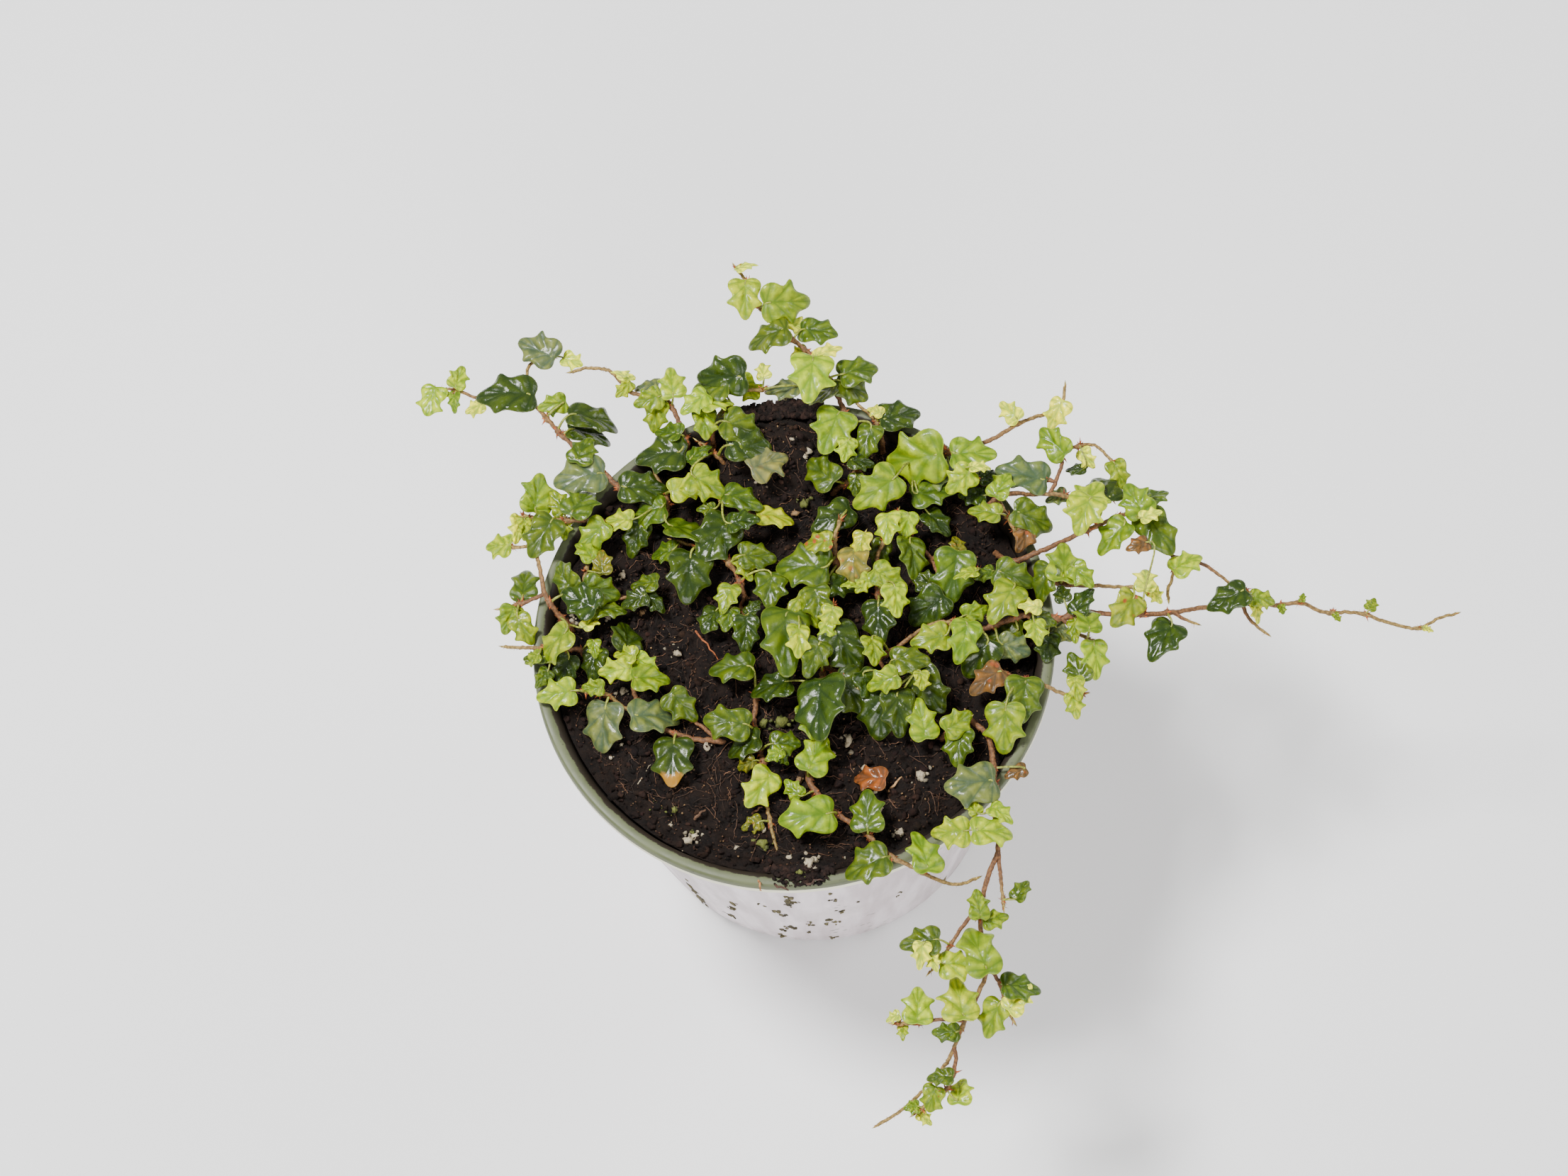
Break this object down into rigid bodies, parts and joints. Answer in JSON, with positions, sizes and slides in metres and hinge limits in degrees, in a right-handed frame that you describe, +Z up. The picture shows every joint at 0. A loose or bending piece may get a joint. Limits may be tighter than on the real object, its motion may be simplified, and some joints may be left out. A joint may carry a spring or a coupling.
{
  "type": "potted creeping fig",
  "caption": "Oak-leaf creeping fig rooted in a round nursery pot, its leafy runners spreading over the rim and trailing down the sides.",
  "frame": {"origin": "centre of the pot's base, on the surface that it stands on", "axes": "+Z up along the pot's axis; +X to the right and +Y to the back as the plant is seen from its front"},
  "size_m": [0.3131, 0.249, 0.1482],
  "materials": {
    "pot_plastic": "thin matte thermoformed plastic, pale pinkish grey outside, sage green inside and on the rim, with small specks of algae and soil",
    "peat_soil": null,
    "fig_leaf": null,
    "dead_leaf": "dry curled leaf, matte"
  },
  "bodies": {
    "root": {"nursery_pot": "pot_plastic", "soil": "peat_soil", "dead_leaf_back": "dead_leaf", "dead_leaf_front": "dead_leaf", "runner_back_left": "fig_leaf", "runner_back_left_thin": "fig_leaf", "shoot_back_left": "fig_leaf", "shoot_back_left_inner": "fig_leaf", "shoot_left_back": "fig_leaf", "runner_left_thin": "fig_leaf", "runner_left": "fig_leaf", "shoot_left": "fig_leaf", "runner_left_front": "fig_leaf", "shoot_left_front": "fig_leaf", "runner_front_left": "fig_leaf", "shoot_front_left": "fig_leaf", "runner_front": "fig_leaf", "shoot_front": "fig_leaf", "shoot_centre": "fig_leaf", "shoot_centre_left": "fig_leaf", "shoot_back_centre_left": "fig_leaf", "shoot_centre_back": "fig_leaf", "shoot_back_centre": "fig_leaf", "runner_back": "fig_leaf", "shoot_back_right": "fig_leaf", "runner_back_right": "fig_leaf", "shoot_right_back": "fig_leaf", "runner_right_back": "fig_leaf", "shoot_right_top": "fig_leaf", "runner_right_thin": "fig_leaf", "runner_right": "fig_leaf", "shoot_right": "fig_leaf", "shoot_centre_right": "fig_leaf", "shoot_front_right": "fig_leaf", "runner_front_right": "fig_leaf", "shoot_front_right_edge": "fig_leaf", "shoot_front_right_low": "fig_leaf"}
  },
  "joints": []
}
